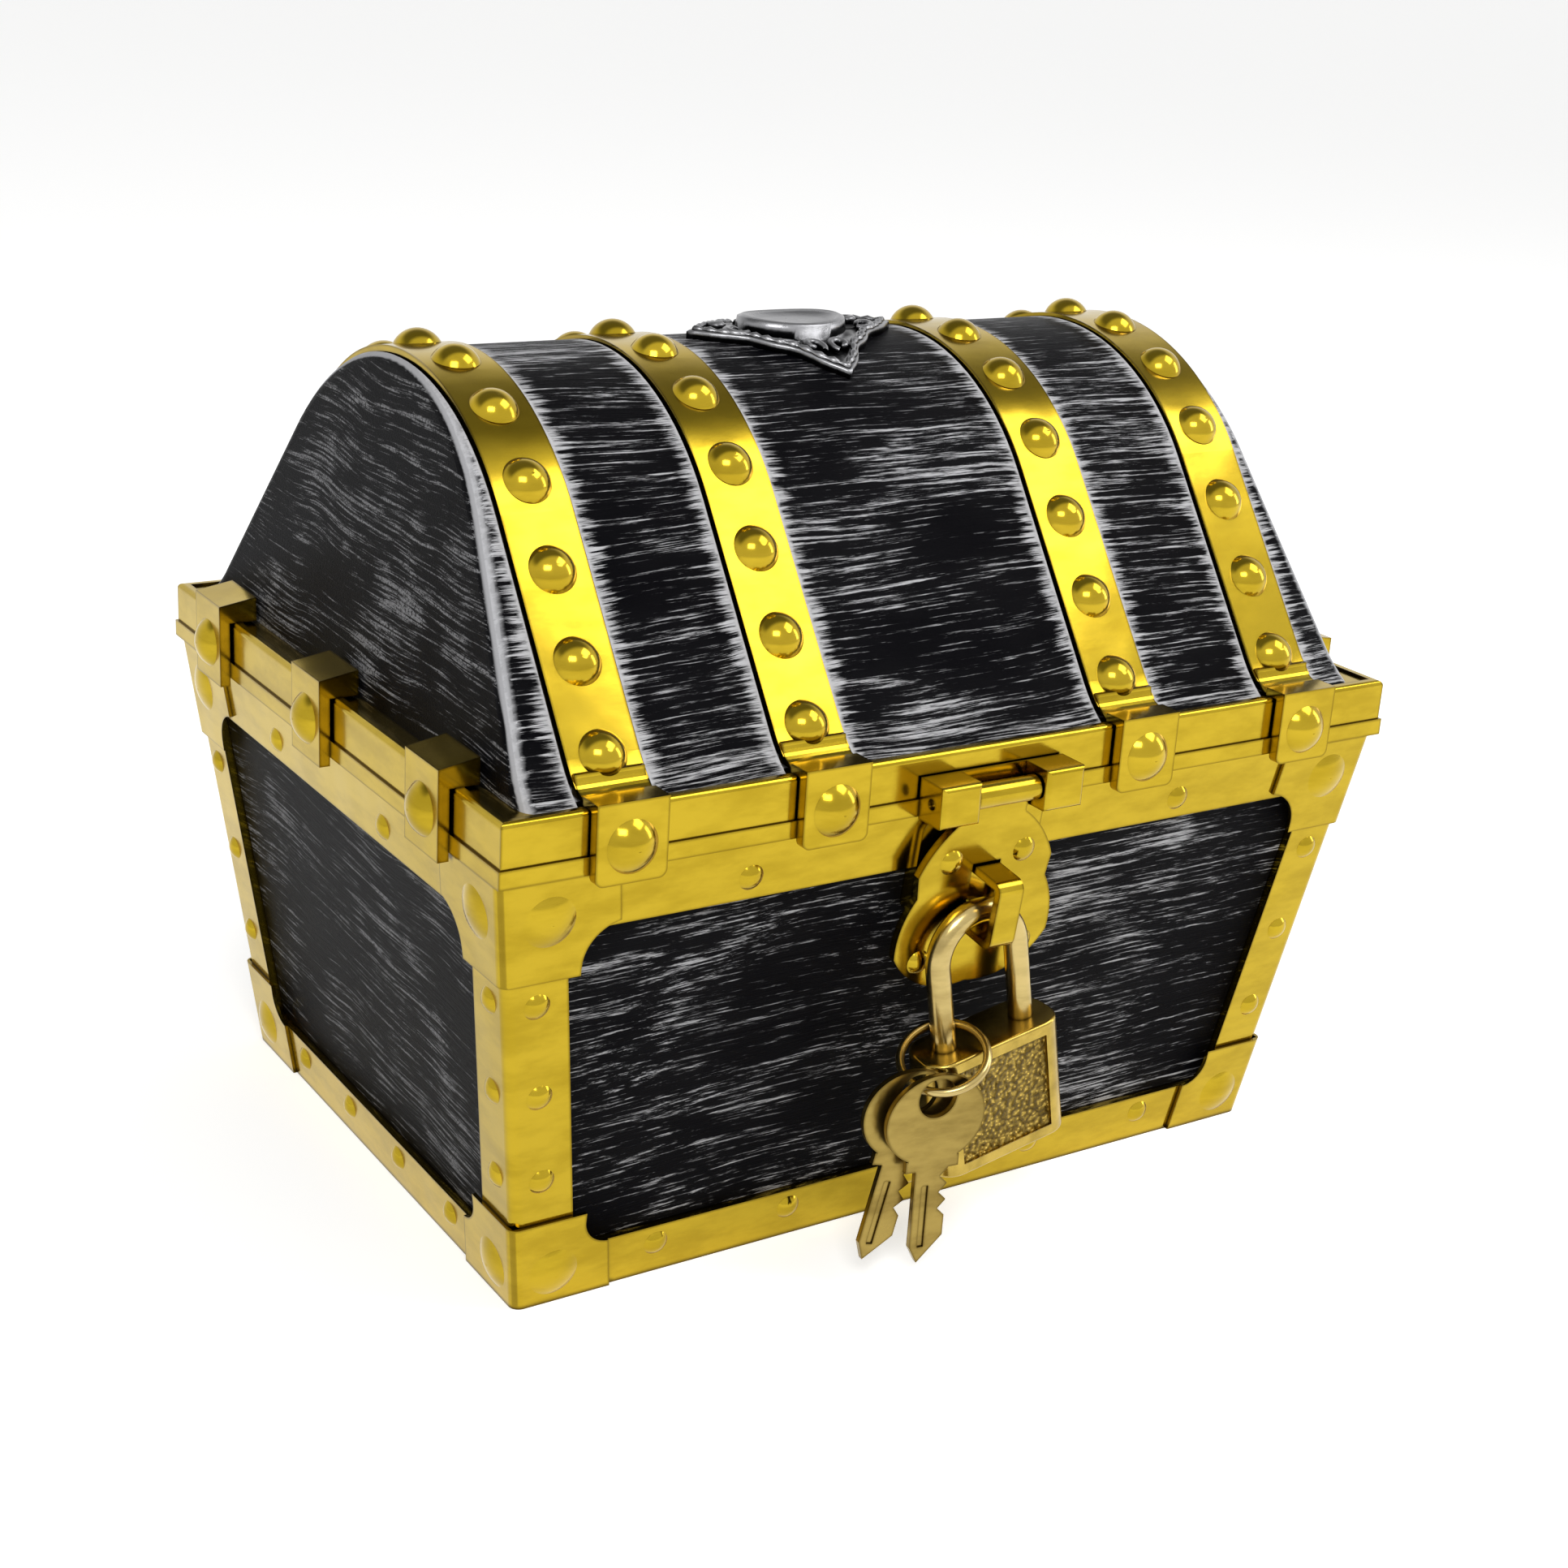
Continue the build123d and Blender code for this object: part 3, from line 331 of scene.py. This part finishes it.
def painted_edge_shade(place):
    """Painted shade: 1 along a thin plate's own edges, where a ray sent into it soon meets its side wall."""
    kept = place.node("ShaderNodeAmbientOcclusion", {"samples": 8, "inside": True, "only_local": True},
                      output="AO", Distance=EDGE_SHADE_REACH)
    return kept.step(0.97, 0.60)


print("corners darken within", round(CORNER_SHADE_REACH / MM, 2), "mm")

# %% [markdown]
# ## Plated gold and plain brass
# The trim is plastic with a bright gold plating: smooth, mirror-like and a little wavy
# from the mould. The shackle, plug and keys are brass, duller and browner. Metals get
# their colour in Base Color with Metallic at 1, and their life from roughness and from
# very shallow waves, since a perfect mirror looks drawn.

# %% Four metals
SMEARS = (90, 90, 260)


def metal(name, bright, dull, rough, waves, wave_depth):
    """Two tones in smears, painted shade in corners and along plate edges, and waves of so many to the
    metre.
    """
    material, shader, place, _ = finish(name, Metallic=1.0)
    wave = stretched(place, (waves, waves, waves), detail=2.0)
    smear = stretched(place, SMEARS)
    # painted shade: brown where pieces meet and along each plate's own edge, mixed into the base colour
    painted_shade = painted_corner_shade(place).most(painted_edge_shade(place) * 0.55)
    color = painted_shade.mix(smear.step(0.35, 0.7).mix(bright, dull), PAINTED_SHADE_BROWN)
    feed(material, shader, color, smear * 0.10 + rough, wave + smear * 0.04, depth=wave_depth, strength=0.6)
    return material


gold = metal("plated_gold", bright=(0.50, 0.350, 0.024, 1), dull=(0.40, 0.275, 0.016, 1),
             rough=0.11, waves=45, wave_depth=0.5 * MM)
key_brass = metal("key_brass", bright=(0.36, 0.26, 0.07, 1), dull=(0.23, 0.16, 0.04, 1),
                  rough=0.24, waves=300, wave_depth=0.2 * MM)
plug_brass = metal("plug_brass", bright=(0.55, 0.40, 0.13, 1), dull=(0.38, 0.27, 0.08, 1),
                   rough=0.28, waves=300, wave_depth=0.2 * MM)
shackle_brass = metal("shackle_brass", bright=(0.56, 0.43, 0.17, 1), dull=(0.38, 0.28, 0.10, 1),
                      rough=0.16, waves=160, wave_depth=0.2 * MM)
print("metals:", gold.name, key_brass.name, plug_brass.name, shackle_brass.name)

# %% [markdown]
# ## Hammered brass
# The padlock's case has a sunk panel on its front and back, beaten all over with small
# dents. Smooth Voronoi cells have the round floors and soft ridges of such dents. The
# padlock hangs a little turned, so the panel's mask is worked out along its own lean,
# down from the middle of the shackle's bend.

# %% The padlock's case
CASE_LEAN = math.radians(10.5)
BEND_CENTRE = Vector((-1.2, -59.5, 46.4)) * MM
PANEL_DOWN = 22.1 * MM
PANEL_HALF_WIDTH, PANEL_HALF_HEIGHT = 7.8 * MM, 7.6 * MM
PANEL_BLUR = 0.1 * MM
DENTS_PER_METRE = 1500.0


def on_panel(place, facing):
    """1 on the two sunk panels of the case."""
    x, _, z = apart(place)
    level = apart(facing)[1].abs().step(0.7, 0.9)
    across = (x - BEND_CENTRE.x) * math.cos(CASE_LEAN) + (z - BEND_CENTRE.z) * math.sin(CASE_LEAN)
    down = (x - BEND_CENTRE.x) * math.sin(CASE_LEAN) - (z - BEND_CENTRE.z) * math.cos(CASE_LEAN)
    wide = across.abs().step(PANEL_HALF_WIDTH + PANEL_BLUR, PANEL_HALF_WIDTH - PANEL_BLUR)
    high = (down - PANEL_DOWN).abs().step(PANEL_HALF_HEIGHT + PANEL_BLUR, PANEL_HALF_HEIGHT - PANEL_BLUR)
    return wide * high * level


def hammered(name):
    material, shader, place, facing = finish(name, Metallic=1.0)
    panel = on_panel(place, facing)
    dents = place.node("ShaderNodeTexVoronoi", {"feature": "SMOOTH_F1"}, Vector=place,
                       Scale=DENTS_PER_METRE)
    ripple = stretched(place, (1400, 1400, 1400), detail=2.0)
    wear = stretched(place, (220, 220, 220), detail=4.0)
    relief = (dents + ripple * 0.6) * panel
    plain = wear.step(0.3, 0.7).mix((0.52, 0.37, 0.080, 1), (0.34, 0.235, 0.045, 1))
    pitted = (dents + ripple * 0.5).step(0.35, 0.85).mix((0.46, 0.32, 0.070, 1), (0.12, 0.078, 0.016, 1))
    rough = panel * 0.16 + wear * 0.1 + 0.18
    feed(material, shader, panel.mix(plain, pitted), rough, relief, depth=1.2 * MM, strength=0.9)
    return material


case_brass = hammered("hammered_brass")
print("hammered brass: a dent every", round(1000 / DENTS_PER_METRE, 2), "mm")

# %% [markdown]
# ## Antique silver
# The ornament is dark cast metal, rubbed bright on its high places. The Ambient
# Occlusion node again tells high from low, and a little noise keeps the rubbing uneven.

# %% Dark in the hollows, bright on the ridges
HOLLOW_REACH = 2.2 * MM
HOLLOW_BLACK = (0.008, 0.008, 0.009, 1)
RIDGE_SILVER = (0.30, 0.30, 0.31, 1)


def antique_silver(name):
    material, shader, place, _ = finish(name, Metallic=0.85)
    rub = stretched(place, (420, 420, 420), detail=4.0)
    raised = (free_share(place, HOLLOW_REACH) + (rub - 0.5) * 0.30).step(0.72, 0.97)
    color = raised.mix(HOLLOW_BLACK, RIDGE_SILVER)
    feed(material, shader, color, rub * 0.2 + 0.20, rub, depth=0.2 * MM, strength=0.4)
    return material


silver = antique_silver("antique_silver")
print("made", silver.name)

# %% [markdown]
# ## Dressing the frame
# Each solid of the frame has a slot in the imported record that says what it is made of,
# so most finishes are given out by slot. Three pieces are told apart by name: the two
# black ones, which need their own middle and edges, and the padlock's plug.

# %% Give each piece of the frame its finish
by_node = {"tub": tub_black, "lid_shell": lid_black, "padlock_plug": plug_brass}
by_slot = {
    "gold_trim": gold,
    "dark_silver": silver,
    "aged_brass": case_brass,
    "key_brass": key_brass,
    "steel": shackle_brass,
}
slot_of = {part["node"]: part["material_slot"] for part in frame["record"]["subparts"]}
for name, part in frame["nodes"].items():
    for place in part.material_slots:
        place.material = by_node.get(name) or by_slot[slot_of[name]]
print("dressed", len(frame["nodes"]), "pieces")

# %% [markdown]
# ## The toes of the straps
# Each strap sweeps outwards at its foot and runs in under its clip. The frame's strap
# stops just short of the clip, so a small toe bridges the two. A quarter of an ellipse,
# pulled out to the strap's width, gives the same hollow curve as the moulding, and its
# ends come from the boxes of the strap and the clip. A bevelled curve could do it too,
# but its ends would be harder to fit.

# %% Eight toes
TOE_STEPS = 8
TOE_TUCK = 0.2 * MM  # how far the toe's outer end goes into the clip
TOE_RISE = 1.6 * MM  # its top above the strap's lowest point
TOE_SINK = 0.4 * MM  # how far the curve's foot is below the clip's top
TOE_BITE = 0.7 * MM  # how far inside the strap the curve starts, and its body goes as far again
TOE_FOOT = 0.9 * MM  # its underside below the clip's top
TOE_EDGE = 0.2 * MM  # how much narrower it is than the strap, on each side


def toe_profile(strap_low, strap_high, clip_low, clip_high):
    """The toe seen from the end of the box, as points of y and z for the back of the lid."""
    outer = min(abs(clip_low[1]), abs(clip_high[1])) + TOE_TUCK
    level = strap_low[2] + TOE_RISE
    half_y, half_z = outer - (strap_high[1] - TOE_BITE), level - (clip_high[2] - TOE_SINK)
    inner, bottom = outer - half_y - TOE_BITE, clip_high[2] - TOE_FOOT
    turns = [math.pi / 2 * step / TOE_STEPS for step in range(TOE_STEPS + 1)]
    curve = [(outer - half_y * math.cos(turn), level - half_z * math.sin(turn)) for turn in turns]
    return curve + [(outer, bottom), (inner, bottom), (inner, level)]


def strap_toe(strap, end, way):
    """One toe: way is -1 at the front of the lid and 1 at its back."""
    low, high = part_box(f"strap_{strap}")
    profile = toe_profile(low, high, *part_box(f"strap_clip_{strap}_{end}"))
    mesh = bmesh.new()
    near = [mesh.verts.new((low[0] + TOE_EDGE, way * y, z)) for y, z in profile]
    far = [mesh.verts.new((high[0] - TOE_EDGE, way * y, z)) for y, z in profile]
    for k in range(len(profile)):
        after = (k + 1) % len(profile)
        mesh.faces.new((near[k], near[after], far[after], far[k]))
    mesh.faces.new(near)
    mesh.faces.new(far[::-1])
    bmesh.ops.recalc_face_normals(mesh, faces=mesh.faces)
    made = bpy.data.meshes.new(f"strap_toe_{strap}_{end}")
    mesh.to_mesh(made)
    mesh.free()
    made.materials.append(gold)
    piece = bpy.data.objects.new(made.name, made)
    bpy.context.scene.collection.objects.link(piece)
    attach(piece, "lid")


for strap in ("outer_left", "inner_left", "inner_right", "outer_right"):
    strap_toe(strap, "front", -1)
    strap_toe(strap, "back", 1)
print("strap toes made")

# %% [markdown]
# ## The ornament on the lid
# A cast plate lies over the crown, with a rope round its edge and scrolls beside a dish.
# The frame's own plate is a plain star, so a finer one made here stands for it. Every
# shape of the ornament is drawn flat, in u along the box and v across it, and then bent
# over the round crown by one function. Modelling it bent would make each curve harder.

# %% From flat to bent
CROWN_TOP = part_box("lid_shell")[1][2]
CROWN_RADIUS = 38 * MM
PLATE_THICK = 1.3 * MM
plate_low, plate_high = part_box("lid_ornament")
HALF_U = (plate_high[0] - plate_low[0]) / 2
HALF_V = CROWN_RADIUS * math.asin((plate_high[1] - plate_low[1]) / 2 / (CROWN_RADIUS + PLATE_THICK))


def over_crown(u, v, lift):
    """A flat point of the ornament, bent over the crown, at a lift above the plate's top."""
    radius = CROWN_RADIUS + PLATE_THICK + lift
    turn = v / CROWN_RADIUS
    return (u, radius * math.sin(turn), CROWN_TOP - CROWN_RADIUS + radius * math.cos(turn))


print("ornament reaches", round(HALF_U / MM, 1), "by", round(HALF_V / MM, 1), "mm from its middle")

# %% The plate's outline
SIDE_DIP, SIDE_RIPPLE = 0.11, 0.022  # how far a side's middle draws in, and its small waves
TIPS = [(1, 0), (0, 1), (-1, 0), (0, -1)]


def rim_point(share, scale):
    """A point on the plate's outline: four sides that dip in a little, share from 0 to 1 round it."""
    quarter, along = divmod(share * len(TIPS), 1)
    first, second = TIPS[int(quarter) % len(TIPS)], TIPS[(int(quarter) + 1) % len(TIPS)]
    dip = 1 - SIDE_DIP * math.sin(math.pi * along) - SIDE_RIPPLE * math.cos(6 * math.pi * along)
    u = (first[0] + (second[0] - first[0]) * along) * dip
    v = (first[1] + (second[1] - first[1]) * along) * dip
    return u * HALF_U * scale, v * HALF_V * scale


print("a side's middle draws in to", round(1 - SIDE_DIP + SIDE_RIPPLE, 3), "of a straight side")

# %% [markdown]
# ## The plate and its dish
# The plate is one mesh of closed rings. They start under it, go out to its rim, come back
# over the raised border, and climb the oval dish in the middle. Its underside follows
# the crown, because a flat one would cut through the thin lid and show inside it.

# %% Plate
AROUND = 96
UNDER = -1.2  # lifts are in millimetres from the plate's top
PLATE_RINGS = [(0.04, UNDER), (0.25, UNDER), (0.5, UNDER), (0.75, UNDER), (1.0, -1.3), (1.0, -0.2),
               (0.975, 0.0), (0.86, 0.0), (0.83, -0.5), (0.55, -0.5)]  # scale of the outline, lift
DISH_RINGS = [(9.0, 6.3, -0.4), (8.6, 6.0, 1.4), (7.8, 5.4, 1.7), (7.0, 4.7, 1.3),
              (6.0, 3.8, 0.8), (2.8, 1.8, 0.7)]  # half length, half width, lift


def ornament_plate():
    """The cast plate with a raised border and an oval dish, bent over the crown."""
    mesh = bmesh.new()
    shares = [k / AROUND for k in range(AROUND)]
    loops = []
    for scale, lift in PLATE_RINGS:
        loops.append([mesh.verts.new(over_crown(*rim_point(share, scale), lift * MM)) for share in shares])
    for half_u, half_v, lift in DISH_RINGS:
        turns = [2 * math.pi * share for share in shares]
        ring = [(half_u * MM * math.cos(turn), half_v * MM * math.sin(turn)) for turn in turns]
        loops.append([mesh.verts.new(over_crown(u, v, lift * MM)) for u, v in ring])
    for first, second in zip(loops, loops[1:]):
        for k in range(AROUND):
            after = (k + 1) % AROUND
            mesh.faces.new((first[k], first[after], second[after], second[k]))
    mesh.faces.new(loops[-1])
    mesh.faces.new(loops[0][::-1])
    bmesh.ops.recalc_face_normals(mesh, faces=mesh.faces)
    made = bpy.data.meshes.new("ornament_plate")
    mesh.to_mesh(made)
    mesh.free()
    made.materials.append(silver)
    made.shade_smooth()
    piece = bpy.data.objects.new("ornament_plate", made)
    bpy.context.scene.collection.objects.link(piece)
    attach(piece, "lid")
    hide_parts("lid_ornament")


ornament_plate()
print("plate of", len(PLATE_RINGS) + len(DISH_RINGS), "rings")

# %% [markdown]
# ## Rope and scrolls
# The rope and the scrolls are thin beads, so a bevelled curve is the right tool: it takes
# a thickness at each point. The curve is then turned into a mesh, since the finished
# model is made of meshes.

# %% One bead
BEAD_ROUNDNESS = 3


def bead(name, points, radius, closed=False):
    """A bead through flat points of u, v and thickness."""
    curve = bpy.data.curves.new(name, "CURVE")
    curve.dimensions = "3D"
    curve.bevel_depth = radius
    curve.bevel_resolution = BEAD_ROUNDNESS
    line = curve.splines.new("POLY")
    line.points.add(len(points) - 1)
    for point, (u, v, thickness) in zip(line.points, points):
        point.co = (*over_crown(u, v, 0.0), 1)
        point.radius = thickness
    line.use_cyclic_u = closed
    drawn = bpy.data.objects.new(name, curve)
    bpy.context.scene.collection.objects.link(drawn)
    mesh = bpy.data.meshes.new_from_object(drawn.evaluated_get(bpy.context.evaluated_depsgraph_get()))
    bpy.data.objects.remove(drawn)
    piece = bpy.data.objects.new(name, mesh)
    bpy.context.scene.collection.objects.link(piece)
    mesh.materials.clear()
    mesh.materials.append(silver)
    mesh.shade_smooth()
    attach(piece, "lid")


# %% Rope
ROPE_STEPS = 176
ROPE_SCALE = 0.915  # of the plate's outline, which puts it on the raised border
ROPE_RADIUS = 0.65 * MM


def rope(name):
    """A twisted-looking bead: short swellings all round the plate's border."""
    points = []
    for step in range(ROPE_STEPS):
        u, v = rim_point(step / ROPE_STEPS, ROPE_SCALE)
        points.append((u, v, 0.76 + 0.24 * math.cos(step * math.pi / 2)))
    bead(name, points, ROPE_RADIUS, closed=True)


rope("ornament_rope")
print("rope with", ROPE_STEPS // 4, "swellings")

# %% Scrolls
SCROLL_STEPS = 60
SCROLL_TURN = 3.6 * math.pi / 2
SCROLL_EYE = 0.18  # its inner radius, as a share of the outer one
SCROLL_RADIUS = 0.7 * MM
SIDE_SCROLL, SIDE_SIZE = (11.2 * MM, 2.2 * MM), 2.0 * MM
TIP_SCROLL, TIP_SIZE = (2.4 * MM, 9.8 * MM), 1.9 * MM


def scroll(name, start, turn_way, size, lean):
    """A spiral that opens into a tail."""
    points = []
    for step in range(SCROLL_STEPS):
        share = step / (SCROLL_STEPS - 1)
        angle = lean + turn_way * share * SCROLL_TURN
        radius = size * (SCROLL_EYE + (1 - SCROLL_EYE) * share)
        points.append((start[0] + radius * math.cos(angle), start[1] + radius * math.sin(angle),
                       0.65 + 0.35 * math.sin(math.pi * share)))
    bead(name, points, SCROLL_RADIUS)


for side_u in (-1, 1):
    for side_v in (-1, 1):
        way = side_u * side_v
        name = f"ornament_scroll_{'r' if side_u > 0 else 'l'}{'b' if side_v > 0 else 'f'}"
        side_start = (side_u * SIDE_SCROLL[0], side_v * SIDE_SCROLL[1])
        scroll(name, side_start, way, SIDE_SIZE, math.pi * (side_u > 0))
        tip_start = (side_u * TIP_SCROLL[0], side_v * TIP_SCROLL[1])
        scroll(name + "_tip", tip_start, -way, TIP_SIZE, math.pi / 2 * side_v)
print("eight scrolls made")

# %% [markdown]
# ## Floor
# A plain pale floor shows the plating best, because bright metal is a mirror: it is only
# as good as what it reflects. The floor glows a little, but only for the camera and for
# reflections, so it looks nearly white and still takes the chest's shadow. A brighter
# lamp would whiten it too, but would also bleach the black.

# %% A pale floor that keeps its shadow
FLOOR_SIZE = 12
FLOOR_COLOR = (0.90, 0.90, 0.89, 1)
FLOOR_GLOW = 0.52
BLACK, WHITE = (0, 0, 0, 1), (1, 1, 1, 1)

bpy.ops.mesh.primitive_plane_add(size=FLOOR_SIZE, location=(0, 0, 0))
floor = bpy.context.object
floor.name = "floor"
floor_finish, floor_shader, floor_place, _ = finish("pale_floor", Roughness=0.8, Specular_IOR_Level=0.1)
floor_shader.inputs["Base Color"].default_value = FLOOR_COLOR
floor_rays = floor_place.node("ShaderNodeLightPath")
floor_seen = floor_rays.other("Is Camera Ray").most(floor_rays.other("Is Glossy Ray"))
link_or_set(floor_finish.node_tree, floor_seen.mix(BLACK, WHITE), floor_shader.inputs["Emission Color"])
floor_shader.inputs["Emission Strength"].default_value = FLOOR_GLOW
floor.data.materials.append(floor_finish)
print("floor of", FLOOR_SIZE, "metres")

# %% [markdown]
# ## World
# The world is white where the camera looks at it, and gentler as a light, so that the
# black stays black. Reflections see it white too, except for a dim ceiling high up
# behind the chest. The tops of the straps mirror that part, and without it their gold
# turns into one flat bright band. A dark card over a real chest does the same.

# %% A white room with a dim ceiling
SEEN_LEVEL, LIGHT_LEVEL = 1.0, 0.42
CEILING_DIMMER = 0.78
CEILING_HEIGHT, CEILING_BEHIND = (0.45, 0.80), (-0.20, 0.12)  # of a direction of length 1: starts, full

world = bpy.data.worlds.new("soft_room")
bpy.context.scene.world = world
world.use_nodes = True
backdrop = world.node_tree.nodes["Background"]
rays = Socket(world.node_tree, None).node("ShaderNodeLightPath")
camera_ray, glossy_ray = rays.other("Is Camera Ray"), rays.other("Is Glossy Ray")
_, behind, height = apart(rays.node("ShaderNodeTexCoord", output="Generated"))
dim_ceiling = height.step(*CEILING_HEIGHT) * behind.step(*CEILING_BEHIND) * glossy_ray
seen = camera_ray.most(glossy_ray)
level = seen * (SEEN_LEVEL - LIGHT_LEVEL) + LIGHT_LEVEL - dim_ceiling * CEILING_DIMMER
link_or_set(world.node_tree, level, backdrop.inputs["Strength"])
backdrop.inputs["Color"].default_value = WHITE
print("world: seen at", SEEN_LEVEL, "and lights at", LIGHT_LEVEL)

# %% [markdown]
# ## Lamps
# Three soft lamps stand in for studio boxes: one in front on the left, one above on the
# right, and a tall narrow one for the right end. Area lamps give wide highlights that
# follow the rivets, where point lamps would give hard dots.

# %% Three soft boxes
AIM = Vector((0, 0, 60 * MM))


def lamp(name, place, size, power):
    """A lamp at a place in metres, turned to the chest, with its width, height and watts."""
    light = bpy.data.lights.new(name, "AREA")
    light.shape = "RECTANGLE"
    light.size, light.size_y = size
    light.energy = power
    thing = bpy.data.objects.new(name, light)
    thing.location = place
    thing.rotation_euler = (AIM - Vector(place)).to_track_quat("-Z", "Y").to_euler()
    bpy.context.scene.collection.objects.link(thing)


lamp("key_light", place=(-0.45, -0.75, 0.85), size=(0.5, 0.35), power=5)
lamp("top_light", place=(0.52, -0.34, 0.80), size=(0.5, 0.4), power=2.8)
lamp("side_light", place=(0.95, -0.35, 0.35), size=(0.2, 0.5), power=1.4)
print("lamps", len(bpy.data.lights))

# %% [markdown]
# ## Camera
# The camera stands where the photograph was taken from, to the left of the front and a
# little above. Its place, turns and focal length come from a fit to the corners of the
# chest, so they are written as the fit gave them, in millimetres, radians and pixels. A
# camera placed by eye would do for a picture, but it couldn't be laid over the
# photograph and compared.

# %% Where the photograph was taken from
YAW, PITCH, ROLL = 0.5894, 0.3526, 0.0634
STOOD_AT = Vector((-200.862, -306.472, 186.491)) * MM
FOCAL, PHOTO = 3016.47, 1932  # focal length and width of the picture, both in pixels
SENSOR = 36  # width of the camera's sensor in millimetres

forward = Vector((math.sin(YAW) * math.cos(PITCH), math.cos(YAW) * math.cos(PITCH), -math.sin(PITCH)))
right = Vector((math.cos(YAW), -math.sin(YAW), 0))
up = right.cross(forward)
turned_right = right * math.cos(ROLL) + up * math.sin(ROLL)
turned_up = up * math.cos(ROLL) - right * math.sin(ROLL)
camera = bpy.data.objects.new("camera", bpy.data.cameras.new("camera"))
bpy.context.scene.collection.objects.link(camera)
turned = Matrix((turned_right, turned_up, -forward)).transposed().to_4x4()
camera.matrix_world = Matrix.Translation(STOOD_AT) @ turned
camera.data.sensor_width = SENSOR
camera.data.lens = SENSOR * FOCAL / PHOTO
camera.data.clip_start = 10 * MM
bpy.context.scene.camera = camera
bpy.context.scene.view_settings.view_transform = "Standard"
print("camera at", tuple(round(v, 3) for v in camera.location), "lens", round(camera.data.lens, 1), "mm")
